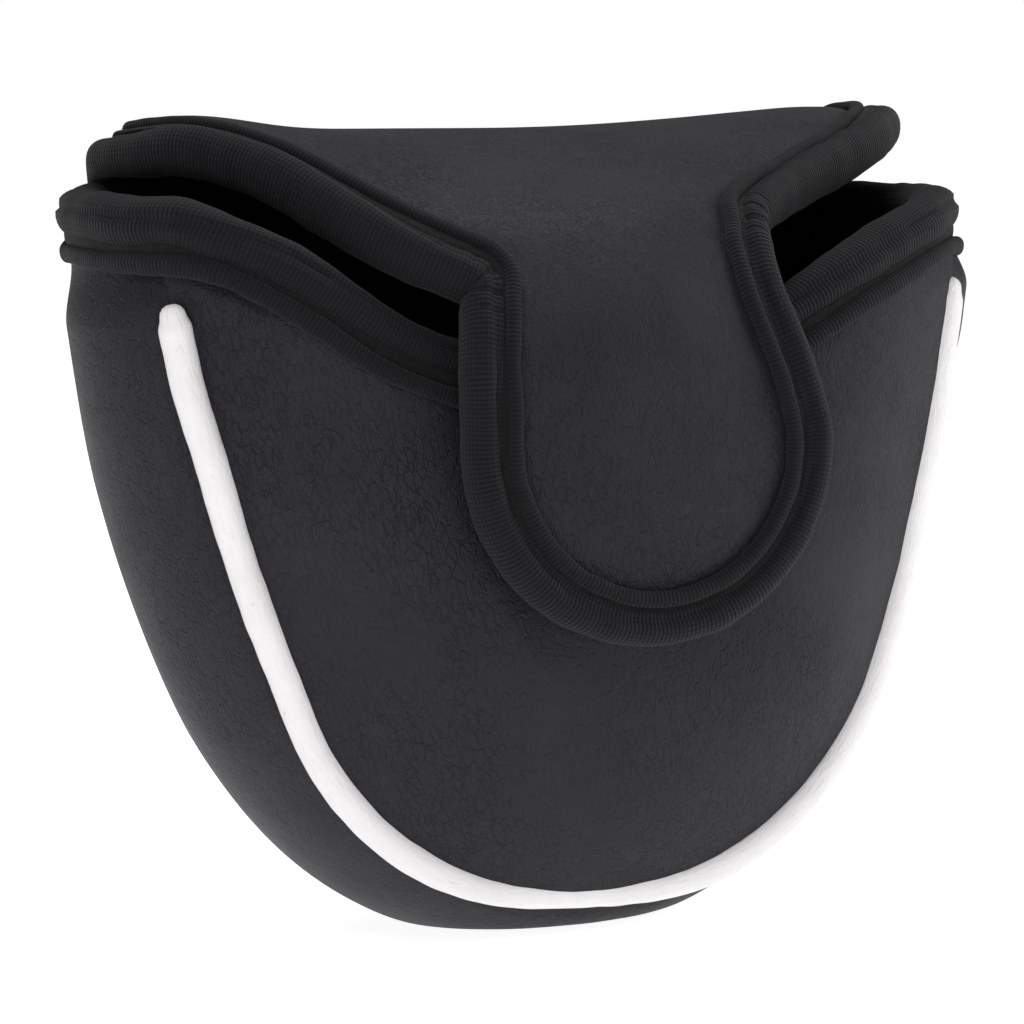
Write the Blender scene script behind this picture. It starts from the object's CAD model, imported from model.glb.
import bmesh
import bpy
import math
import numpy as np
from mathutils import Matrix, Vector


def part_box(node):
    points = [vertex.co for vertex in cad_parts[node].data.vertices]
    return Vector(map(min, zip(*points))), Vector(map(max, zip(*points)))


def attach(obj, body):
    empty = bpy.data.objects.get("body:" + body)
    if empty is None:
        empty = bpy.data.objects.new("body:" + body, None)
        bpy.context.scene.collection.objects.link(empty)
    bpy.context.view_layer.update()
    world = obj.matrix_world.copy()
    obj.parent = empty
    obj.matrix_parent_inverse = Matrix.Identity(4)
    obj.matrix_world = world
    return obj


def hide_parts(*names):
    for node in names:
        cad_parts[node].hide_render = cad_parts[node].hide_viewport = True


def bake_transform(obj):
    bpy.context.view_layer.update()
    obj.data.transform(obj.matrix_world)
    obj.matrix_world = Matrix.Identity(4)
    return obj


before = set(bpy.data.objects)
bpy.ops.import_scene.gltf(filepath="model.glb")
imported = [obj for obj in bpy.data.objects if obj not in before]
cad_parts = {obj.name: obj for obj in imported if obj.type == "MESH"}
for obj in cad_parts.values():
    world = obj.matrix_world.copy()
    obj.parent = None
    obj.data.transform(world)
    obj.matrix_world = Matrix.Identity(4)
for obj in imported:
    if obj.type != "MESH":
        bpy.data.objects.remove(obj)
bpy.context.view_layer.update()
MM = 0.001

# ---- sizes, millimetres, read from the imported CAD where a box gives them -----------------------


def box_mm(node):
    low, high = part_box(node)
    return np.array(low) / MM, np.array(high) / MM


front_low = box_mm("front_leather")[0]
back_high = box_mm("back_leather")[1]
tongue_low = box_mm("tongue_leather")[0]

# The padded sheet: leather with foam, then lining.
SHEET = 5.7
MIDDLE = SHEET / 2
PAD, LINING = 4.2, 1.45
LINING_AT = PAD + 0.05

# The D outline: a round bottom running into nearly straight sides.
BOTTOM_R = 53.5
BOTTOM_Z = 57.5
BOTTOM_HALF = math.radians(70.0)
SIDE_R = 340.0
SIDE_X = -(SIDE_R - BOTTOM_R) * math.sin(BOTTOM_HALF)
SIDE_Z = BOTTOM_Z + (SIDE_R - BOTTOM_R) * math.cos(BOTTOM_HALF)
SIDE_START = math.pi / 2 - BOTTOM_HALF
BOTTOM_LEN = BOTTOM_R * BOTTOM_HALF
SEAM_Y = 23.0

# How far the panels stand out of the seams, and how wide their rounded rims are.
BULGE = 8.3
GUSSET_R = (SEAM_Y**2 + BULGE**2) / (2 * BULGE)
FRONT_FACE = -front_low[1]
FRONT_RISE = FRONT_FACE - SEAM_Y
FRONT_RIM = 35.0
BACK_FACE = back_high[1]
BACK_RISE = BACK_FACE - SEAM_Y
BACK_RIM = 30.0
BACK_TUCK = 2.5
SEAM_DENT, SEAM_DENT_WIDE = 1.5, 3.2
FLOOR_SOFT = 0.6

# The opening's edge: low in front, higher at the seams and over the gusset.
OPEN_LOW, OPEN_SEAM, OPEN_SIDE, OPEN_HALF, OPEN_POWER = 84.0, 109.5, 113.05, 66.0, 1.6
OPEN_TILT = 1.6
SIDE_SAG = 4.4

# Soft unevenness of the filled pouch, as bells of height, centre and width: the opening's edge by X,
# the left gusset by Z, the flap's top by X, and the front piping's depth by distance along its seam.
MOUTH_SWELLS = ((3.5, 34, 20), (-2.0, -35, 12))
LEFT_SWELLS = ((0.9, 66, 22), (-1.0, 27, 13))
CROWN_SWELLS = ((-1.5, 8, 42), (2.2, -53, 13))
PIPING_SETS = ((2.7, -3, 19), (0.55, -68, 14))
BELLY, BINDING_PINCH = 1.7, 0.8
MOUTH_TUCK_LEFT, MOUTH_TUCK_RIGHT, MOUTH_TUCK_BACK = 2.4, 4.2, 2.4
SWELL, PUCKER = 0.22, 0.10

# The flap's side profile: a tight fold, a long crown, a bend at the neck, then straight down.
FOLD_Z, FOLD_R, CROWN_R, CROWN_A = 115.0, 10.0, 88.0, math.radians(32.0)
TONGUE_FACE = -tongue_low[1]
FOLD_Y = BACK_FACE - FOLD_R
CROWN_Z = FOLD_Z + FOLD_R - CROWN_R
CROWN_END = math.pi / 2 + CROWN_A
END_Y = FOLD_Y + CROWN_R * math.cos(CROWN_END)
END_Z = CROWN_Z + CROWN_R * math.sin(CROWN_END)
BEND_R = (TONGUE_FACE + END_Y) / (1 - math.sin(CROWN_A))
BEND_Y = BEND_R - TONGUE_FACE
BEND_Z = END_Z - BEND_R * math.cos(CROWN_A)
NECK_A = math.radians(136.0)

# The flap's outline, and distances along it from the fold.
FLAP_HALF, NECK_HALF, FLAP_POWER = 70.0, 27.0, 1.78
BULB_R, BULB_Z = 30.3, 76.7
S_FOLD = (FOLD_R - MIDDLE) * math.pi / 2
S_CROWN = S_FOLD + (CROWN_R - MIDDLE) * CROWN_A
S_NECK = S_CROWN + (BEND_R - MIDDLE) * (NECK_A - CROWN_END)
S_DOWN = S_CROWN + (BEND_R - MIDDLE) * (math.pi - CROWN_END)
S_BULB = S_DOWN + BEND_Z - BULB_Z
S_SPLIT = 34.0
S_START = -13.0

# The knit tape: a padded roll over the edge, a sewn hem beside it, and the channel under the stitches.
EDGE_IN_ROLL = 2.5
ROLL_RADIUS = 3.85
ROLL_AT, ROLL_WIDE, ROLL_THICK = 2.95, 6.4, 8.2
HEM_AT, HEM_WIDE, HEM_THICK, HEM_DEPTH = 7.05, 2.5, 2.6, -0.1
MOUTH_ROLL_AT, MOUTH_ROLL_WIDE, MOUTH_HEM_AT, MOUTH_HEM_WIDE = 3.4, 7.6, 8.85, 3.3
CHANNEL_WIDE, CHANNEL_THICK, CHANNEL_DEPTH = 3.4, 1.2, 0.3
MOUTH_CHANNEL_AT = (MOUTH_ROLL_AT + MOUTH_HEM_AT + 1.0) / 2 + 0.2
CHANNEL_AT = (ROLL_AT + HEM_AT + 2.0) / 2
ROLL_RUFFLE, HEM_RUFFLE, CHANNEL_RUFFLE = 0.022, 0.05, 0.02
OFF_FACE = 8.0

# The piping in the seams.
PIPING_TOP = 97.0
FRONT_PIPING_R, FRONT_PIPING_SINK = 2.55, 0.1
BACK_PIPING_R, BACK_PIPING_SINK = 2.5, 3.1


def smooth(low, high, value):
    """Soft step from 0 at low to 1 at high."""
    t = np.clip((np.asarray(value, float) - low) / (high - low), 0, 1)
    return t * t * (3 - 2 * t)


def hump(value, centre, width):
    """Bell of height 1 round a centre."""
    return np.exp(-(((np.asarray(value, float) - centre) / width) ** 2))


def bells(value, parts):
    """Sum of bells, each given as height, centre and width."""
    return sum(high * hump(value, centre, width) for high, centre, width in parts)


def waves(seed, count, low, high):
    """Random sine set for gentle, repeatable unevenness: callable on one or two coordinates."""
    rng = np.random.default_rng(seed)
    freq = rng.uniform(low, high, count)
    turn = rng.uniform(0, 2 * math.pi, count)
    phase = rng.uniform(0, 2 * math.pi, count)

    def value(a, b=0.0):
        total = 0.0
        for f, t, p in zip(freq, turn, phase):
            total = total + np.sin(f * (a * math.cos(t) + b * math.sin(t)) + p)
        return total / math.sqrt(count)

    return value


# ---- surfaces of the pouch ----------------------------------------------------------------------


def outline(length):
    """Point and outward direction on the D outline, by distance from the bottom centre."""
    length = np.asarray(length, float)
    side = np.sign(length)
    low = np.abs(length) <= BOTTOM_LEN
    turn = length / BOTTOM_R
    rise = -SIDE_START + (np.abs(length) - BOTTOM_LEN) / SIDE_R
    x = np.where(low, BOTTOM_R * np.sin(turn), side * (SIDE_X + SIDE_R * np.cos(rise)))
    z = np.where(low, BOTTOM_Z - BOTTOM_R * np.cos(turn), SIDE_Z + SIDE_R * np.sin(rise))
    nx = np.where(low, np.sin(turn), side * np.cos(rise))
    nz = np.where(low, -np.cos(turn), np.sin(rise))
    return x, z, nx, nz


def outline_length(z):
    """Distance from the bottom centre to a height on the side arc."""
    return BOTTOM_LEN + SIDE_R * (np.arcsin((np.asarray(z) - SIDE_Z) / SIDE_R) + SIDE_START)


def inside(x, z):
    """Distance inside the D outline."""
    x = np.abs(x)
    low = (z - BOTTOM_Z) < -x * math.tan(SIDE_START)
    return np.where(low, BOTTOM_R - np.hypot(x, z - BOTTOM_Z), SIDE_R - np.hypot(x - SIDE_X, z - SIDE_Z))


def open_height(x):
    """Height of the opening's edge on the front panel, lifted on the right and dipping on the left."""
    x = np.asarray(x, float)
    reach = np.minimum(np.abs(x) / OPEN_HALF, 1.0)
    base = OPEN_LOW + (OPEN_SEAM - OPEN_LOW) * (1 - (1 - reach**2) ** OPEN_POWER)
    return base + bells(x, MOUTH_SWELLS) - OPEN_TILT * x / OPEN_HALF


def gusset_height(y, side):
    """Height of the opening's edge on the gusset; the right side (+1) sags lower."""
    ramp = np.clip((y + SEAM_Y) / SEAM_Y, 0, 1)
    seam = OPEN_SEAM - OPEN_TILT * side
    top = OPEN_SIDE - SIDE_SAG * (1 + side) / 2
    return seam + (top - seam) * (1 - np.cos(math.pi * ramp)) / 2


pucker = waves(3, 9, 0.25, 0.8)
swell = waves(4, 6, 0.03, 0.09)


def seam_dent(gap):
    """Share of the dent that the stitches pull beside a seam."""
    return np.clip(1 - gap / SEAM_DENT_WIDE, 0, 1) ** 2


def front_y(x, z, depth):
    """Y of the domed front panel, with its low belly and the dents beside the seam and the binding."""
    rim = inside(x, z)
    dome = (FRONT_RIM**2 + FRONT_RISE**2) / (2 * FRONT_RISE)
    run = np.maximum(FRONT_RIM - rim, 0.0)
    y = -FRONT_FACE + dome - np.sqrt(np.maximum((dome - depth) ** 2 - run**2, 1.0))
    belly = BELLY * hump(x, 0, 42) * hump(z, 48, 30)
    seam_dip = (SEAM_DENT - 1.3 * smooth(20, 60, x)) * seam_dent(rim)
    to_edge = open_height(x) - z
    pinch = BINDING_PINCH * hump(np.clip(to_edge, 0, None), 0, 7)
    uneven = SWELL * swell(x, z) + PUCKER * pucker(x, z) * hump(rim, 0, 9)
    return y - belly + seam_dip + pinch + uneven


def gusset_point(length, y, depth):
    """Point of the bulging gusset: fuller on the right, tucked in at the mouth, flat where it stands."""
    x, z, nx, nz = outline(length)
    out = np.sqrt((GUSSET_R - depth) ** 2 - y**2) - (GUSSET_R - BULGE)
    out = out - SEAM_DENT * seam_dent(SEAM_Y - np.abs(y)) - BACK_TUCK * smooth(14, SEAM_Y, y)
    left = np.where(length < 0, 1.0, 0.0)
    mouth = smooth(97, 107, z)
    back_tuck = MOUTH_TUCK_BACK * smooth(72, 112, z) * smooth(-8, 20, y)
    full_right = 0.9 * smooth(15, 50, z) + smooth(80, 92, z)
    out = out + left * (bells(z, LEFT_SWELLS) - MOUTH_TUCK_LEFT * mouth - back_tuck)
    out = out + (1 - left) * (full_right - MOUTH_TUCK_RIGHT * mouth)
    out = out + 0.25 * swell(length, y * 2) + PUCKER * pucker(length, y) * smooth(12, 21, np.abs(y))
    px, pz = x + nx * out, z + nz * out
    above = (pz - depth) / FLOOR_SOFT
    pz = depth + FLOOR_SOFT * np.where(above > 30, above, np.log1p(np.exp(np.minimum(above, 30))))
    return px, y + 0 * px, pz


def back_drop(x, z):
    """How far the back panel curves in towards its seam."""
    rim = inside(x, z) - BACK_TUCK
    dome = (BACK_RIM**2 + BACK_RISE**2) / (2 * BACK_RISE)
    run = np.maximum(BACK_RIM - rim, 0.0)
    drop = dome - np.sqrt(dome**2 - run**2)
    return drop + SEAM_DENT * seam_dent(rim)


# ---- surface of the flap, by width x and distance s from the fold plane --------------------------

# Share of X by which the two edges of the drooping flap differ along it.
TWIST = 0.2
flap_swell = waves(9, 6, 0.04, 0.11)


def profile(s, depth):
    """Y and Z along the flap's side profile."""
    s = np.asarray(s, float)
    flat = s < 0
    one = s < S_FOLD
    two = s < S_CROWN
    three = s < S_DOWN
    turn1 = s / (FOLD_R - MIDDLE)
    turn2 = math.pi / 2 + (s - S_FOLD) / (CROWN_R - MIDDLE)
    turn3 = CROWN_END + (s - S_CROWN) / (BEND_R - MIDDLE)
    fold, crown, bend = FOLD_R - depth, CROWN_R - depth, BEND_R - depth
    y = np.where(one, FOLD_Y + fold * np.cos(turn1), FOLD_Y + crown * np.cos(turn2))
    z = np.where(one, FOLD_Z + fold * np.sin(turn1), CROWN_Z + crown * np.sin(turn2))
    y = np.where(two, y, BEND_Y + bend * np.cos(turn3))
    z = np.where(two, z, BEND_Z + bend * np.sin(turn3))
    y = np.where(three, y, -TONGUE_FACE + depth)
    z = np.where(three, z, BEND_Z - (s - S_DOWN))
    y = np.where(flat, BACK_FACE - depth, y)
    z = np.where(flat, FOLD_Z + s, z)
    return y, z


def flap_shift(x, s):
    """Sideways place on the real, slightly crooked flap: leaning bridge, and a waist that leans left."""
    lean = 5.0 * smooth(-12, 8, s) - 4.6 * smooth(12, S_NECK, s) + 0.4 * smooth(S_NECK, S_BULB, s)
    waist = hump(s, S_NECK + 12, 11) * smooth(S_NECK - 2, S_NECK + 4, s)
    return x + lean - (1.1 + 2.7 * smooth(-34, 34, x)) * waist


def flap_point(x, s, depth, crown=0.0):
    """Point of the flap or the back panel; crown pushes it outwards."""
    x, s = np.asarray(x, float), np.asarray(s, float)
    droop = smooth(S_NECK - 32, S_NECK - 2, s) * (1 - smooth(S_NECK + 4, S_BULB, s))
    ps = s - TWIST * x * droop + 1.2 * droop
    px = flap_shift(x, s)
    y, z = profile(ps, depth - crown)
    on_back = 1 - smooth(-12, 8, s)
    drop = back_drop(np.clip(x, -90, 90), np.minimum(z, 117.0)) * on_back
    y = y - np.where(s < 9, drop, 0)
    top = smooth(2, 14, s) * (1 - smooth(S_NECK - 22, S_NECK - 2, s))
    z = z + top * (1.3 * (x / 60) ** 2 + bells(x, CROWN_SWELLS))
    corner_sag = 3.0 * smooth(58, 70, -x) + 1.4 * smooth(50, 70, x)
    z = z - corner_sag * smooth(-2, 10, s) * (1 - smooth(20, 42, s))
    y = y - 0.25 * flap_swell(px, z) * (1 - on_back)
    z = z + 0.3 * top * flap_swell(px + 40, y)
    return px, y, z


def flap_edge(inward):
    """Right half of the flap's edge, offset inwards, from the fold to the tip, as (x, s)."""
    s = np.linspace(S_START, S_NECK, 155)
    reach = np.maximum((s - S_FOLD) / (S_NECK - S_FOLD), 0)
    x = FLAP_HALF - (FLAP_HALF - NECK_HALF) * reach**FLAP_POWER - 6.5 * (1 - smooth(-8, 14, s))
    slope = np.gradient(x, s)
    norm = np.hypot(1, slope)
    points = [(a - inward / n, b + inward * g / n) for a, b, g, n in zip(x, s, slope, norm)]
    last = math.atan2(slope[-1], -1.0)
    radius = BULB_R - inward
    reach_x, reach_s = NECK_HALF - inward, S_BULB - S_NECK
    tangent = math.atan2(reach_s, reach_x) - math.acos(min(radius / math.hypot(reach_x, reach_s), 1))
    start = (radius * math.cos(tangent), S_BULB - radius * math.sin(tangent))
    for t in np.linspace(0, 1, 10)[1:]:
        turn = (1 - t) * (last % (2 * math.pi)) + t * math.pi
        points.append((NECK_HALF + inward * math.cos(turn), S_NECK + inward * math.sin(turn)))
    for t in np.linspace(0, 1, 16)[1:]:
        points.append((reach_x + (start[0] - reach_x) * t, S_NECK + (start[1] - S_NECK) * t))
    for t in np.linspace(0, 1, 60)[1:]:
        turn = tangent - (tangent + math.pi / 2) * t
        points.append((radius * math.cos(turn), S_BULB - radius * math.sin(turn)))
    return np.array(points)


def mirrored(right):
    """A right half in (x, s) with its mirrored left half."""
    return np.vstack([right, right[::-1][1:] * (-1, 1)])


def flap_loop(inward):
    """The flap's whole edge, offset inwards."""
    return mirrored(flap_edge(inward))


def resample(points, count):
    """Points spread evenly along a path."""
    points = np.asarray(points, float)
    gap = np.linalg.norm(np.diff(points, axis=0), axis=1)
    along = np.r_[0, np.cumsum(gap)]
    keep = np.r_[True, gap > 1e-6]
    target = np.linspace(0, along[-1], count)
    columns = [np.interp(target, along[keep], column[keep]) for column in points.T]
    return np.column_stack(columns)


LEATHER_EDGE = flap_edge(EDGE_IN_ROLL)


def half_width(s):
    """Half width of the flap's leather at a distance from the fold, down to the bulb's centre."""
    side = LEATHER_EDGE[LEATHER_EDGE[:, 1] <= S_BULB + 0.01]
    return np.interp(s, side[:, 1], side[:, 0])


def edge_distance(x, s):
    """Distance of flap points from its free edge."""
    loop = resample(flap_loop(0.0), 420)
    flat = np.column_stack([np.ravel(x), np.ravel(s)])
    best = np.full(len(flat), 1e9)
    for chunk in np.array_split(loop, 14):
        gap = np.linalg.norm(flat[:, None, :] - chunk[None, :, :], axis=2)
        best = np.minimum(best, gap.min(1))
    return best.reshape(np.shape(x))


def flap_crown(x, s):
    """Puffiness of the padded flap: full in the tongue, pulled down along the hem's stitches."""
    gap = edge_distance(x, s)
    full = 1.8 * smooth(8.0, 24, gap) * smooth(S_NECK - 34, S_NECK + 18, s)
    return full - 0.6 * hump(gap, 7.6, 1.8) * smooth(2, 12, s)


# ---- mesh helpers ------------------------------------------------------------------------------

# Edges sharper than this stay sharp; points closer than these, in metres, are joined.
RIM_ANGLE = math.radians(55)
MERGE, COLLAPSE = 2e-6, 1e-6


def mesh_object(name, verts, faces, uv=None):
    """Smooth-shaded object from points in millimetres, with sharp edges at its rims."""
    mesh = bpy.data.meshes.new(name)
    mesh.from_pydata((np.asarray(verts) * MM).tolist(), [], [tuple(map(int, f)) for f in faces])
    if uv is not None:
        layer = mesh.uv_layers.new(name="UVMap")
        loops = np.zeros(len(mesh.loops), int)
        mesh.loops.foreach_get("vertex_index", loops)
        layer.data.foreach_set("uv", np.asarray(uv, float)[loops].ravel())
    clean = bmesh.new()
    clean.from_mesh(mesh)
    bmesh.ops.remove_doubles(clean, verts=clean.verts, dist=MERGE)
    bmesh.ops.dissolve_degenerate(clean, edges=clean.edges, dist=COLLAPSE)
    bmesh.ops.recalc_face_normals(clean, faces=clean.faces)
    for edge in clean.edges:
        edge.smooth = len(edge.link_faces) == 2 and edge.calc_face_angle() < RIM_ANGLE
    clean.to_mesh(mesh)
    clean.free()
    mesh.polygons.foreach_set("use_smooth", [True] * len(mesh.polygons))
    mesh.update()
    obj = bpy.data.objects.new(name, mesh)
    bpy.context.scene.collection.objects.link(obj)
    return obj


def grid_faces(rows, cols, wrap=False):
    """Quads of a grid of points; wrap closes each row into a ring."""
    r, c = np.meshgrid(np.arange(rows - 1), np.arange(cols if wrap else cols - 1), indexing="ij")
    a = r * cols + c
    b = r * cols + (c + 1) % cols
    return np.stack([a, b, b + cols, a + cols], -1).reshape(-1, 4)


def sheet(name, outer, inner):
    """Closed padded sheet between two grids of points, rows x cols x 3."""
    rows, cols = outer.shape[:2]
    count = rows * cols
    faces = [grid_faces(rows, cols), grid_faces(rows, cols)[:, ::-1] + count]
    index = np.arange(count).reshape(rows, cols)
    rim = np.concatenate([index[0, :], index[1:, -1], index[-1, -2::-1], index[-2:0:-1, 0]])
    after = np.roll(rim, -1)
    faces.append(np.stack([after, rim, rim + count, after + count], -1))
    return mesh_object(name, np.vstack([outer.reshape(-1, 3), inner.reshape(-1, 3)]), np.vstack(faces))


def spline(points, count):
    """Natural cubic spline through points, sampled evenly."""
    points = np.asarray(points, float)
    knots = np.r_[0, np.cumsum(np.linalg.norm(np.diff(points, axis=0), axis=1))]
    gap = np.diff(knots)
    size = len(points)
    left = np.eye(size)
    right = np.zeros_like(points)
    for i in range(1, size - 1):
        left[i, i - 1 : i + 2] = gap[i - 1], 2 * (gap[i - 1] + gap[i]), gap[i]
        right[i] = 6 * ((points[i + 1] - points[i]) / gap[i] - (points[i] - points[i - 1]) / gap[i - 1])
    bend = np.linalg.solve(left, right)
    at = np.linspace(0, knots[-1], count)
    i = np.clip(np.searchsorted(knots, at) - 1, 0, size - 2)
    h = gap[i][:, None]
    a = (knots[i + 1] - at)[:, None] / h
    b = 1 - a
    return (
        a * points[i] + b * points[i + 1]
        + ((a**3 - a) * bend[i] + (b**3 - b) * bend[i + 1]) * h**2 / 6
    )


# Radius that turns the angle round a bar into millimetres of tape.
TAPE_RADIUS = 4


def rings(centre, outer, width, thick, power=2.2, around=32, ruffle=None, groove=None):
    """Rings of a padded bar along a path; outer lies off the sheet's face and sets its facing."""
    tangent = np.gradient(centre, axis=0)
    tangent /= np.linalg.norm(tangent, axis=1)[:, None]
    normal = outer - centre
    normal -= tangent * np.sum(normal * tangent, 1)[:, None]
    normal /= np.linalg.norm(normal, axis=1)[:, None]
    side = np.cross(tangent, normal)
    along = np.r_[0, np.cumsum(np.linalg.norm(np.diff(centre, axis=0), axis=1))]
    angle = np.linspace(0, 2 * math.pi, around, endpoint=False)
    ca, sa = np.cos(angle), np.sin(angle)
    across = np.sign(ca) * np.abs(ca) ** (2 / power)
    lift = np.sign(sa) * np.abs(sa) ** (2 / power)
    w = np.broadcast_to(np.asarray(width, float), along.shape)[:, None] / 2
    t = np.broadcast_to(np.asarray(thick, float), along.shape)[:, None] / 2
    grow = np.ones((len(along), around))
    if ruffle is not None:
        grow = grow + ruffle(along[:, None], angle[None, :])
    if groove is not None:
        grow = grow - groove(along[:, None], angle[None, :])
    points = centre[:, None, :] + side[:, None, :] * (across * w * grow)[..., None]
    points = points + normal[:, None, :] * (lift * t * grow)[..., None]
    around_face = np.minimum(angle, 2 * math.pi - angle) * TAPE_RADIUS
    uv = np.stack(np.broadcast_arrays(along[:, None], around_face[None, :]), -1)
    return points, uv


# Rounded end of a bar: each ring's share of the width, and how far it is pushed out, in radii.
CAP_STEPS = ((0.92, 0.3), (0.7, 0.6), (0.38, 0.78))
CAP_REACH = 0.82


def bar(name, points, uv, start_cap=True, end_cap=True):
    """Closed piece from rings; without its round cap an end is flat, hidden against the next piece."""
    rows, around = points.shape[:2]
    blocks, texture = [points.reshape(-1, 3)], [uv.reshape(-1, 2)]
    faces = [tuple(f) for f in grid_faces(rows, around, wrap=True)]
    pairs = [(j, (j + 1) % around) for j in range(around)]
    total = rows * around
    for row, other, rounded in ((0, 1, start_cap), (rows - 1, rows - 2, end_cap)):
        middle = points[row].mean(0)
        away = points[row].mean(0) - points[other].mean(0)
        away /= np.linalg.norm(away)
        reach = np.linalg.norm(points[row] - middle, axis=1).mean()
        last = row * around
        steps = CAP_STEPS if rounded else ()
        for shrink, push in steps:
            blocks.append(middle + (points[row] - middle) * shrink + away * reach * push)
            texture.append(uv[row])
            faces += [(last + a, last + b, total + b, total + a) for a, b in pairs]
            last, total = total, total + around
        blocks.append((middle + away * reach * (CAP_REACH if rounded else 0.0))[None])
        texture.append(uv[row][:1])
        faces += [(last + a, last + b, total) for a, b in pairs]
        total += 1
    return mesh_object(name, np.vstack(blocks), faces, np.vstack(texture))


# ---- materials ---------------------------------------------------------------------------------


class Shader:
    """Small helper for building a node material."""

    def __init__(self, name):
        self.material = bpy.data.materials.new(name)
        self.material.use_nodes = True
        self.tree = self.material.node_tree
        self.surface = self.tree.nodes["Principled BSDF"]
        self.coords = self.tree.nodes.new("ShaderNodeTexCoord").outputs["Object"]

    def node(self, kind, inputs=None, **settings):
        made = self.tree.nodes.new(kind)
        for key, value in settings.items():
            setattr(made, key, value)
        for key, value in (inputs or {}).items():
            self.feed(made.inputs[key], value)
        return made

    def feed(self, socket, value):
        if isinstance(value, bpy.types.NodeSocket):
            self.tree.links.new(value, socket)
        else:
            socket.default_value = value

    def math(self, operation, a, b=0.0, c=0.0):
        return self.node("ShaderNodeMath", {0: a, 1: b, 2: c}, operation=operation).outputs[0]

    def vector_math(self, operation, *values):
        inputs = dict(enumerate(values))
        return self.node("ShaderNodeVectorMath", inputs, operation=operation).outputs[0]

    def mapped(self, vector, **settings):
        return self.node("ShaderNodeMapping", {"Vector": vector, **settings}).outputs[0]

    def tape_uv(self):
        return self.node("ShaderNodeUVMap", uv_map="UVMap").outputs[0]

    def stretch(self, scale, lean=0.0):
        """Object coordinates, leaned about Y and then scaled per axis."""
        return self.mapped(self.mapped(self.coords, Rotation=(0.0, lean, 0.0)), Scale=scale)

    def noise(self, scale, detail=3.0, rough=0.55, vector=None, distort=0.0):
        inputs = {"Vector": vector or self.coords, "Scale": scale, "Detail": detail, "Roughness": rough,
                  "Distortion": distort}
        return self.node("ShaderNodeTexNoise", inputs).outputs["Fac"]

    def cracks(self, scale, vector, warp=0.0006):
        """Thin lines between irregular cells: 0 on a line, 1 away from it."""
        soft = self.node("ShaderNodeTexNoise", {"Vector": vector, "Scale": scale * 0.8, "Detail": 2.0})
        offset = self.vector_math("SUBTRACT", soft.outputs["Color"], (0.5, 0.5, 0.5))
        moved = self.vector_math("MULTIPLY_ADD", offset, (warp, warp, warp), vector)
        inputs = {"Vector": moved, "Scale": scale}
        cell = self.node("ShaderNodeTexVoronoi", inputs, feature="DISTANCE_TO_EDGE")
        return self.ramp(cell.outputs["Distance"], 0.0, 0.10)

    def ramp(self, value, low, high, to_low=0.0, to_high=1.0):
        inputs = {"Value": value, "From Min": low, "From Max": high, "To Min": to_low, "To Max": to_high}
        return self.node("ShaderNodeMapRange", inputs, interpolation_type="SMOOTHSTEP").outputs[0]

    def mix(self, factor, a, b):
        made = self.node("ShaderNodeMix", data_type="RGBA")
        self.feed(made.inputs[0], factor)
        self.feed(made.inputs[6], a)
        self.feed(made.inputs[7], b)
        return made.outputs[2]

    def bump(self, height, distance, strength=1.0, normal=None):
        inputs = {"Height": height, "Distance": distance, "Strength": strength}
        if normal is not None:
            inputs["Normal"] = normal
        return self.node("ShaderNodeBump", inputs).outputs[0]

    def finish(self, colour, rough, normal, **extra):
        for key, value in (("Base Color", colour), ("Roughness", rough), ("Normal", normal)):
            self.feed(self.surface.inputs[key], value)
        for key, value in extra.items():
            self.feed(self.surface.inputs[key.replace("_", " ")], value)
        return self.material


def leather_material():
    """Black leather: leaning cells of fine and wide grain lines, deeper in some patches."""
    s = Shader("black_pu_leather_grain")
    patch = s.noise(26.0, 3.0)
    breaks = s.ramp(s.noise(420.0, 3.0), 0.34, 0.55)
    fine = s.cracks(1500.0, s.stretch((1.0, 1.0, 0.6), -0.4), 0.0008)
    wide = s.cracks(900.0, s.stretch((1.0, 0.9, 0.42), 0.35), 0.0014)
    pebble = s.noise(2200.0, 3.0)
    depth = s.ramp(patch, 0.32, 0.62, 0.35, 1.0)
    grain = s.math("MULTIPLY", fine, depth)
    lines = s.math("MAXIMUM", wide, s.math("SUBTRACT", 1.0, s.math("MULTIPLY", breaks, depth)))
    creases = s.noise(120.0, 4.0, 0.6, s.stretch((1.0, 1.0, 0.2)), 0.8)
    normal = s.bump(creases, 0.0005, 0.16)
    normal = s.bump(lines, 0.00017, 0.95, normal)
    normal = s.bump(grain, 0.00009, 0.8, normal)
    normal = s.bump(pebble, 0.00004, 0.45, normal)
    cloud = s.ramp(s.noise(40.0, 3.0), 0.3, 0.7)
    tone = s.mix(cloud, (0.0098, 0.0088, 0.0128, 1), (0.0142, 0.0130, 0.0184, 1))
    colour = s.mix(s.ramp(lines, 0.0, 0.7, 0.5, 1.0), (0.0055, 0.0050, 0.0072, 1), tone)
    worn = s.math("ADD", s.math("MULTIPLY", patch, 0.6), s.math("MULTIPLY", pebble, 0.4))
    return s.finish(colour, s.ramp(worn, 0.3, 0.7, 0.5, 0.62), normal, Specular_IOR_Level=0.24)


# Spacing of the knit's ribs along the tape and of its loops across it, millimetres.
RIB_PITCH, LOOP_PITCH = 0.66, 0.85


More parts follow.
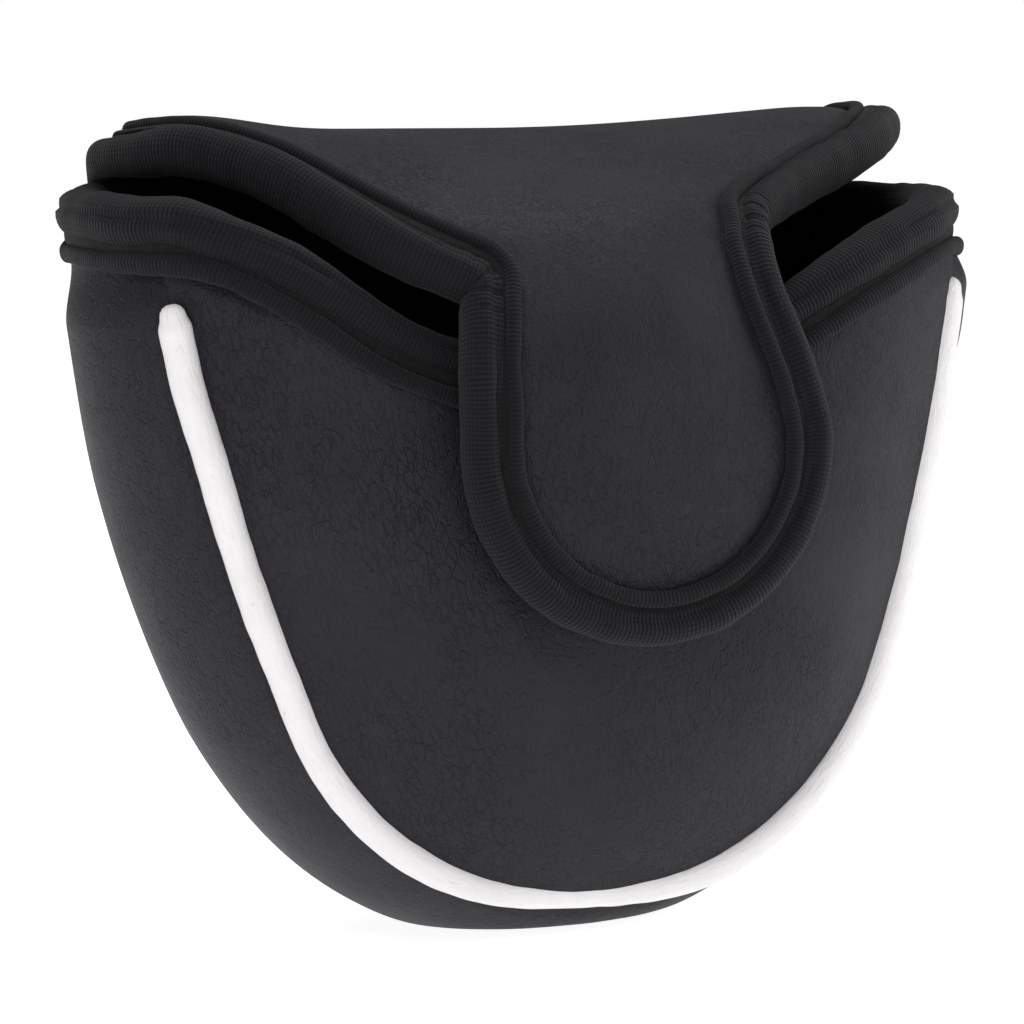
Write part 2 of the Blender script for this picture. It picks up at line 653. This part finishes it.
def knit_material():
    """Black knit tape: ribs across it and loops along it, both following its UVs in millimetres."""
    s = Shader("knit_binding_ribs")
    parts = s.node("ShaderNodeSeparateXYZ", {0: s.tape_uv()})
    along, round_ = parts.outputs[0], parts.outputs[1]
    sway = s.math("MULTIPLY", s.noise(420.0, 2.0), 2.2)
    rib = s.math("SINE", s.math("ADD", s.math("MULTIPLY", along, 2 * math.pi / RIB_PITCH), sway))
    turns = s.math("MULTIPLY", round_, 2 * math.pi / LOOP_PITCH)
    loop = s.math("SINE", s.math("ADD", turns, s.math("MULTIPLY", rib, 0.9)))
    fuzz = s.noise(5200.0, 3.0, 0.7)
    height = s.math("ADD", s.math("MULTIPLY", rib, 0.5), s.math("MULTIPLY", loop, 0.22))
    normal = s.bump(height, 0.0002, 0.65)
    normal = s.bump(fuzz, 0.0001, 0.5, normal)
    shade = s.ramp(height, -0.6, 0.6)
    tone = s.mix(shade, (0.0020, 0.0020, 0.0026, 1), (0.0084, 0.0080, 0.0108, 1))
    colour = s.mix(s.ramp(s.noise(60.0), 0.35, 0.7, 0.0, 0.35), tone, (0.003, 0.003, 0.0035, 1))
    return s.finish(colour, s.ramp(fuzz, 0.3, 0.7, 0.78, 0.95), normal, Specular_IOR_Level=0.2,
                    Sheen_Weight=0.05, Sheen_Roughness=0.5)


def fleece_material():
    """Soft, almost black lining."""
    s = Shader("fleece_lining_nap")
    nap = s.noise(2400.0, 4.0, 0.7)
    clump = s.noise(420.0, 3.0)
    normal = s.bump(clump, 0.0005, 0.6)
    normal = s.bump(nap, 0.0002, 0.8, normal)
    colour = s.mix(s.ramp(nap, 0.35, 0.65), (0.0018, 0.0018, 0.002, 1), (0.0062, 0.006, 0.0066, 1))
    return s.finish(colour, s.ramp(clump, 0.3, 0.7, 0.86, 0.98), normal, Specular_IOR_Level=0.12,
                    Sheen_Weight=0.08, Sheen_Roughness=0.6)


def piping_material():
    """White leather wrapped round a cord, with soft folds that follow its UVs."""
    s = Shader("white_pu_leather_piping")
    folds = s.noise(1.0, 3.0, 0.55, s.mapped(s.tape_uv(), Scale=(0.35, 0.9, 1.0)), 0.8)
    fine = s.cracks(900.0, s.coords)
    normal = s.bump(folds, 0.0005, 0.45)
    normal = s.bump(fine, 0.00006, 0.4, normal)
    tint = s.ramp(s.noise(70.0, 3.0), 0.4, 0.75, 0.0, 0.6)
    tone = s.mix(tint, (0.80, 0.785, 0.79, 1), (0.74, 0.70, 0.705, 1))
    colour = s.mix(s.ramp(folds, 0.2, 0.36), (0.58, 0.54, 0.545, 1), tone)
    return s.finish(colour, s.ramp(folds, 0.3, 0.7, 0.36, 0.5), normal, Specular_IOR_Level=0.45)


def metal_material():
    """Brushed nickel."""
    s = Shader("magnet_nickel")
    brushed = s.noise(900.0, 3.0, 0.6, s.stretch((1.0, 1.0, 6.0)))
    normal = s.bump(brushed, 0.00004, 0.4)
    colour = s.mix(brushed, (0.42, 0.42, 0.43, 1), (0.56, 0.56, 0.57, 1))
    return s.finish(colour, s.ramp(brushed, 0.3, 0.7, 0.22, 0.38), normal, Metallic=1.0)


leather = leather_material()
knit = knit_material()
fleece = fleece_material()
white_pu = piping_material()
nickel = metal_material()


def dress(obj, material, nodes=()):
    """Material, slot and the CAD nodes that a piece stands for."""
    obj.data.materials.clear()
    obj.data.materials.append(material)
    if nodes:
        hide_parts(*nodes)
    return obj


def over_fold(obj):
    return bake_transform(obj)


def over_neck(obj):
    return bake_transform(obj)


def on_pouch(obj):
    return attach(obj, "pouch")


# ---- front panel -------------------------------------------------------------------------------


def corner(side, depth):
    """Where panel and gusset meet at a depth: distance inside the D outline, and Y."""
    rise, rim = (FRONT_RISE, FRONT_RIM) if side < 0 else (BACK_RISE, BACK_RIM)
    dome = (rim**2 + rise**2) / (2 * rise)
    centre = GUSSET_R - BULGE
    across, back = rim - centre, SEAM_Y + rise - dome
    apart = math.hypot(across, back)
    near, far = GUSSET_R - depth, dome - depth
    along = (near**2 - far**2 + apart**2) / (2 * apart)
    off = math.sqrt(near**2 - along**2)
    return centre + (along * across + off * back) / apart, side * (along * back - off * across) / apart


def binding_tuck(deep, along, below):
    """Pull the leather in under the binding, near the seam corner of the opening."""
    return deep * along * (1 - smooth(2, 11, below))


def front_grid(depth, cols=230, rows=96):
    """Front panel from the seam up to the opening, at a depth in the sheet."""
    inset = corner(-1, depth)[0]
    high = OPEN_SEAM + ROLL_RADIUS - EDGE_IN_ROLL
    left = -outline_length(high + OPEN_TILT)
    right = outline_length(high - OPEN_TILT)
    length = np.linspace(left, right, cols)
    x, z, nx, nz = outline(length)
    x, z = x - nx * inset, z - nz * inset
    top_x = np.linspace(x[0], x[-1], cols)
    top_z = open_height(top_x) + ROLL_RADIUS - EDGE_IN_ROLL
    top_z[0], top_z[-1] = z[0], z[-1]
    t = np.linspace(0, 1, rows)[:, None] ** 1.35
    gx, gz = x + (top_x - x) * t, z + (top_z - z) * t
    tuck = binding_tuck(1.7, smooth(48, 60, np.abs(gx)), open_height(gx) - gz)
    return np.stack([gx, front_y(gx, gz, depth + tuck), gz], -1)


front_cover = sheet("front_cover", front_grid(0.0), front_grid(PAD))
front_inner = sheet("front_pocket_lining", front_grid(LINING_AT), front_grid(LINING_AT + LINING))
on_pouch(dress(front_cover, leather, ("front_leather", "front_foam")))
on_pouch(dress(front_inner, fleece, ("front_lining",)))


# ---- gusset ------------------------------------------------------------------------------------


def gusset_grid(depth, cols=420, rows=52):
    """Gusset from one end of the opening round the bottom to the other, at a depth in the sheet."""
    front, back = corner(-1, depth)[1], corner(1, depth)[1]
    y = np.linspace(front, back, rows)[:, None]
    rise = ROLL_RADIUS - EDGE_IN_ROLL
    left = -outline_length(gusset_height(y, -1) + rise)
    right = outline_length(gusset_height(y, 1) + rise)
    length = left + (right - left) * np.linspace(0, 1, cols)[None, :]
    below = np.where(length < 0, gusset_height(y, -1), gusset_height(y, 1)) - outline(length)[1]
    tuck = binding_tuck(1.3, 1 - smooth(-21, -10, y), below)
    return np.stack(gusset_point(length, y, depth + tuck), -1)


gusset_cover = sheet("gusset_cover", gusset_grid(0.0), gusset_grid(PAD))
gusset_inner = sheet("gusset_pocket_lining", gusset_grid(LINING_AT), gusset_grid(LINING_AT + LINING))
on_pouch(dress(gusset_cover, leather, ("gusset_leather", "gusset_foam")))
on_pouch(dress(gusset_inner, fleece, ("gusset_lining",)))


# ---- back panel and flap -----------------------------------------------------------------------


def back_grid(depth, cols=210, rows=64, flap_rows=48):
    """Back panel from the bottom seam up, then over the fold to the split on the bridge."""
    inset = corner(1, depth)[0] + BACK_TUCK
    level = FOLD_Z - 6.0
    reach = float(outline_length(level))
    x, z, nx, nz = outline(np.linspace(-reach, reach, cols))
    x, z = x - nx * inset, z - nz * inset
    z[0] = z[-1] = level
    t = np.linspace(0, 1, rows)[:, None] ** 1.25
    top_x = np.linspace(x[0], x[-1], cols)
    gx, gz = x + (top_x - x) * t, z + (level - z) * t
    s = np.linspace(-6.0, S_SPLIT, flap_rows)[1:, None]
    share = smooth(-6.0, 1.0, s)
    half = x[-1] * (1 - share) + half_width(s) * share
    gx = np.vstack([gx, half * np.linspace(-1, 1, cols)[None, :]])
    gs = np.vstack([gz - FOLD_Z, np.broadcast_to(s, (len(s), cols))])
    return np.stack(flap_point(gx, gs, depth, flap_crown(gx, gs)), -1)


def tongue_grid(depth, cols=150, rows=92, bulb_rows=34):
    """Flap from the split down the tongue to its round end."""
    u = np.linspace(-1, 1, cols)[None, :]
    s = np.linspace(S_SPLIT, S_BULB, rows)[:, None]
    gx = half_width(s) * u
    gs = np.broadcast_to(s, gx.shape)
    radius = BULB_R - EDGE_IN_ROLL
    t = np.linspace(0, 1, bulb_rows)[1:, None]
    turn = u * math.pi / 2
    bulb_x = radius * (u * (1 - t) + np.sin(turn) * t)
    bulb_s = S_BULB + radius * np.cos(turn) * t
    gx, gs = np.vstack([gx, bulb_x]), np.vstack([gs, bulb_s])
    return np.stack(flap_point(gx, gs, depth, flap_crown(gx, gs)), -1)


back_cover = sheet("back_and_bridge_cover", back_grid(0.0), back_grid(PAD))
back_inner = sheet("back_and_bridge_lining", back_grid(LINING_AT), back_grid(LINING_AT + LINING))
tongue_cover = sheet("tongue_cover", tongue_grid(0.0), tongue_grid(PAD))
tongue_inner = sheet("tongue_lining_sheet", tongue_grid(LINING_AT), tongue_grid(LINING_AT + LINING))
back_nodes = ("back_leather", "back_foam", "bridge_leather", "bridge_foam")
over_fold(dress(back_cover, leather, back_nodes))
over_fold(dress(back_inner, fleece, ("back_lining", "bridge_lining")))
over_neck(dress(tongue_cover, leather, ("tongue_leather", "tongue_foam")))
over_neck(dress(tongue_inner, fleece, ("tongue_lining",)))


# ---- knit binding ------------------------------------------------------------------------------

pleat = waves(21, 7, 0.35, 1.1)
lump = waves(22, 6, 0.06, 0.2)


def ruffle(size):
    """Uneven growth of a bar's radius, as a function of the place along it and the angle round it."""

    def value(along, angle):
        return size * pleat(along, angle * 1.5) + 1.6 * size * lump(along, angle)

    return value


def tape_groove(along, angle):
    """Shallow channel along the face of the roll, where the tape is folded."""
    wander = math.radians(68) + 0.12 * np.sin(along * 0.11)
    return 0.17 * hump(angle - wander, 0, 0.16)


# Folds where the tape turns a corner: place along the tape from the corner, and depth in radii.
MITRE_FOLDS = ((-2.6, 0.05), (-0.9, 0.10), (0.9, 0.13), (2.4, 0.06))
MITRE_FOLD_WIDE = 0.42


def mitred(places):
    """Tape groove with the pinched folds where the tape turns each corner."""

    def value(along, angle):
        dent = tape_groove(along, angle)
        fan = 1 + 0.6 * np.sin(angle)
        for place in places:
            for shift, deep in MITRE_FOLDS:
                dent = dent + deep * hump(along - shift * fan, place, MITRE_FOLD_WIDE)
        return dent

    return value


# Y places over a gusset and X places over the front, and the step that measures the edge's slope.
GUSSET_STATIONS = (20.5, 14.0, 6.0, -2.0, -9.0, -15.0, -19.5)
FRONT_STATIONS = (60.0, 52.0, 44.0, 36.0, 28.0, 20.0, 12.0, 5.0)
SLOPE_STEP = 0.01


def opening_stations(depth, outward):
    """Places along the opening's edge, raised outward of it, from the right end to the left one."""
    points = []
    for side in (1, -1):
        half = []
        for y in GUSSET_STATIONS:
            z = float(gusset_height(y, side)) + outward
            length = side * float(outline_length(z))
            px, _, pz = gusset_point(length, y, depth)
            half.append((float(px), y, float(pz)))
        for x in FRONT_STATIONS:
            at = side * x
            rise = float(open_height(at + SLOPE_STEP) - open_height(at - SLOPE_STEP))
            slope = rise / (2 * SLOPE_STEP)
            norm = math.hypot(1, slope)
            ex, ez = at - outward * slope / norm, float(open_height(at)) + outward / norm
            half.append((ex, float(front_y(ex, ez, depth)), ez))
        points.append(half)
    return points[0] + points[1][::-1]


def opening_bar(name, depth, inward, width, thick, size, groove=None, count=900):
    """Bar along the opening's edge, inward from the top of the roll, slimmer over the front."""
    centre = spline(opening_stations(depth, ROLL_RADIUS - inward), count)
    outer = spline(opening_stations(depth - OFF_FACE, ROLL_RADIUS - inward), count)
    slim = 1 - 0.16 * (1 - smooth(34, 50, np.abs(centre[:, 0])))
    points, uv = rings(centre, outer, width * slim, thick, ruffle=ruffle(size), groove=groove)
    return bar(name, points, uv)


opening_roll = opening_bar("opening_binding_roll", MIDDLE, MOUTH_ROLL_AT,
                           MOUTH_ROLL_WIDE, ROLL_THICK, ROLL_RUFFLE, tape_groove)
opening_channel = opening_bar("opening_binding_stitch_channel", CHANNEL_DEPTH, MOUTH_CHANNEL_AT,
                              CHANNEL_WIDE, CHANNEL_THICK, CHANNEL_RUFFLE)
opening_edge = opening_bar("opening_binding_hem", HEM_DEPTH, MOUTH_HEM_AT,
                           MOUTH_HEM_WIDE, HEM_THICK, HEM_RUFFLE)
on_pouch(dress(opening_channel, fleece))
on_pouch(dress(opening_roll, knit, ("opening_binding",)))
on_pouch(dress(opening_edge, knit, ("opening_hem",)))


# Rounds of smoothing at the outline's corners, and how much thinner the bars are over the fold.
EASE_PASSES = 6
FOLD_THINNING = 0.26


def flap_rings(inward, depth, width, thick, size, mitre=False, count=1100):
    """Rings of a bar round the whole flap edge, and the rows where it passes the split."""
    loop = resample(flap_loop(inward), count)
    for _ in range(EASE_PASSES):
        loop[1:-1] = (loop[:-2] + 2 * loop[1:-1] + loop[2:]) / 4
    x, s = loop[:, 0], loop[:, 1]
    centre = np.column_stack(flap_point(x, s, depth))
    outer = np.column_stack(flap_point(x, s, depth - OFF_FACE))
    along = np.r_[0, np.cumsum(np.linalg.norm(np.diff(centre, axis=0), axis=1))]
    off_neck = np.abs(s - S_NECK)
    necks = [along[np.argmin(np.where(x * side < 0, np.inf, off_neck))] for side in (1, -1)]
    thick = thick * (1 - FOLD_THINNING * (1 - smooth(8, 34, s)))
    groove = mitred(necks) if mitre else None
    points, uv = rings(centre, outer, width, thick, ruffle=ruffle(size), groove=groove)
    first = int(np.argmax(s > S_SPLIT))
    last = count - 1 - int(np.argmax(s[::-1] > S_SPLIT))
    return points, uv, first, last


def flap_bars(name, nodes, *sizes, **extra):
    """A bar round the flap's edge, in three pieces that meet at the split."""
    points, uv, first, last = flap_rings(*sizes, **extra)
    right = bar("bridge_" + name + "_right", points[: first + 1], uv[: first + 1], True, False)
    around = bar("tongue_" + name, points[first : last + 1], uv[first : last + 1], False, False)
    left = bar("bridge_" + name + "_left", points[last:], uv[last:], False, True)
    material = knit if nodes else fleece
    over_fold(dress(right, material, nodes[:1]))
    over_fold(dress(left, material, nodes[1:2]))
    over_neck(dress(around, material, nodes[2:]))


roll_nodes = ("bridge_binding_right", "bridge_binding_left", "tongue_binding")
hem_nodes = ("bridge_hem_right", "bridge_hem_left", "tongue_hem")
flap_bars("roll", roll_nodes, ROLL_AT, MIDDLE, ROLL_WIDE, ROLL_THICK, ROLL_RUFFLE, mitre=True)
flap_bars("stitch_channel", (), CHANNEL_AT, CHANNEL_DEPTH, CHANNEL_WIDE, CHANNEL_THICK, CHANNEL_RUFFLE)
flap_bars("hem_tape", hem_nodes, HEM_AT, HEM_DEPTH, HEM_WIDE, HEM_THICK, HEM_RUFFLE)


# ---- piping ------------------------------------------------------------------------------------

crumple = waves(31, 10, 0.4, 1.6)


def crease(along, angle):
    """Uneven growth of the piping's radius."""
    return 0.02 * crumple(along * 0.8, angle * 2.0)


def front_set(length):
    """How far the front piping is pulled in towards the panel, by distance from the bottom centre."""
    ends = 0.75 * smooth(60, 100, length) - 0.8 * smooth(100, 118, -length)
    return bells(length, PIPING_SETS) + ends


def piping(name, y, radius, sink, nodes, count=760):
    """Covered cord along a seam, round the bottom from one upper end to the other."""
    left = -float(outline_length(PIPING_TOP + 1.7))
    right = float(outline_length(PIPING_TOP - 0.7))
    length = np.linspace(left, right, count)
    x, z, nx, nz = outline(length)
    deep = sink + (front_set(length) if y < 0 else 0)
    wide = 2 * radius * (1 + 0.12 * hump(length, 8, 30))
    centre = np.column_stack([x - nx * deep, np.full(count, float(y)), z - nz * deep])
    outer = centre + np.column_stack([nx, np.full(count, math.copysign(1.0, y)), nz])
    gap = np.minimum(length - left, right - length)
    pinch = 1 - 0.22 * (1 - smooth(0.0, 2.0, gap))
    flat = 1 - 0.20 * (1 - smooth(0.0, 2.4, gap))
    points, uv = rings(centre, outer, wide * pinch, wide * flat, power=2.0, ruffle=crease)
    return on_pouch(dress(bar(name, points, uv), white_pu, nodes))


front_cord_nodes = ("front_piping_sleeve", "front_piping_cord")
piping("front_piping", -SEAM_Y, FRONT_PIPING_R, FRONT_PIPING_SINK, front_cord_nodes)
back_cord_nodes = ("back_piping_sleeve", "back_piping_cord")
piping("back_piping", SEAM_Y, BACK_PIPING_R, BACK_PIPING_SINK, back_cord_nodes)

# ---- magnets -----------------------------------------------------------------------------------

for node in ("panel_magnet", "tongue_magnet"):
    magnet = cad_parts[node]
    magnet.data.materials.clear()
    magnet.data.materials.append(nickel)

# ---- floor, light and camera -------------------------------------------------------------------

AZIMUTH, ELEVATION, ROLL = math.radians(-25.0), math.radians(5.0), math.radians(-2.0)
DISTANCE, LENS = 0.755, 168.7
LOOK = Vector((-0.00215, 0.0, 0.0637))


def place_camera():
    """Camera turned round the object, raised, and rolled about its own line of sight."""
    level = math.cos(ELEVATION)
    back = Vector((math.sin(AZIMUTH) * level, -math.cos(AZIMUTH) * level, math.sin(ELEVATION)))
    right = Vector((math.cos(AZIMUTH), math.sin(AZIMUTH), 0.0))
    up = back.cross(right)
    across = right * math.cos(ROLL) + up * math.sin(ROLL)
    high = up * math.cos(ROLL) - right * math.sin(ROLL)
    data = bpy.data.cameras.new("camera")
    data.lens, data.sensor_width = LENS, 36.0
    data.clip_start, data.clip_end = 0.05, 20.0
    camera = bpy.data.objects.new("camera", data)
    turn = Matrix((across, high, back)).transposed().to_4x4()
    camera.matrix_world = Matrix.Translation(LOOK + back * DISTANCE) @ turn
    bpy.context.scene.collection.objects.link(camera)
    bpy.context.scene.camera = camera


LAMP_TARGET = Vector((0, 0, 0.06))


def lamp(name, place, size, power):
    """Soft rectangular lamp aimed at the middle of the object."""
    data = bpy.data.lights.new(name, "AREA")
    data.shape, data.size, data.size_y, data.energy = "RECTANGLE", size[0], size[1], power
    light = bpy.data.objects.new(name, data)
    light.location = place
    light.rotation_mode = "QUATERNION"
    light.rotation_quaternion = (Vector(place) - LAMP_TARGET).to_track_quat("Z", "Y")
    bpy.context.scene.collection.objects.link(light)


def floor_material():
    """Pale floor, bright by itself so that its far edge melts into the background."""
    s = Shader("studio_floor")
    speck = s.noise(30.0, 3.0)
    colour = s.mix(speck, (0.60, 0.60, 0.60, 1), (0.62, 0.62, 0.62, 1))
    return s.finish(colour, 0.9, s.bump(speck, 0.0002, 0.1), Specular_IOR_Level=0.1,
                    Emission_Color=(1, 1, 1, 1), Emission_Strength=0.92)


FLOOR_HALF, FLOOR_DROP = 6.0, 0.0004


def lay_floor():
    """Large flat floor just under the object."""
    grid = bmesh.new()
    bmesh.ops.create_grid(grid, x_segments=2, y_segments=2, size=FLOOR_HALF)
    data = bpy.data.meshes.new("studio_floor")
    grid.to_mesh(data)
    grid.free()
    floor = bpy.data.objects.new("studio_floor", data)
    floor.location.z = -FLOOR_DROP
    data.materials.append(floor_material())
    bpy.context.scene.collection.objects.link(floor)


def studio_world(seen, cast):
    """Plain white surroundings, seen at one strength and lighting the object at another."""
    world = bpy.data.worlds.new("studio")
    world.use_nodes = True
    tree = world.node_tree
    path = tree.nodes.new("ShaderNodeLightPath")
    level = tree.nodes.new("ShaderNodeMapRange")
    level.inputs["To Min"].default_value = cast
    level.inputs["To Max"].default_value = seen
    tree.links.new(path.outputs["Is Camera Ray"], level.inputs["Value"])
    tree.nodes["Background"].inputs[0].default_value = (1.0, 1.0, 1.0, 1)
    tree.links.new(level.outputs[0], tree.nodes["Background"].inputs[1])
    bpy.context.scene.world = world


lay_floor()
studio_world(1.0, 0.2)
lamp("key", (-0.45, -0.65, 0.95), (0.7, 0.5), 6.5)
lamp("fill", (0.95, -0.30, 0.45), (0.4, 0.8), 4.2)
lamp("top", (0.05, 0.25, 1.1), (0.9, 0.5), 5.5)
place_camera()
bpy.context.scene.view_settings.view_transform = "Standard"
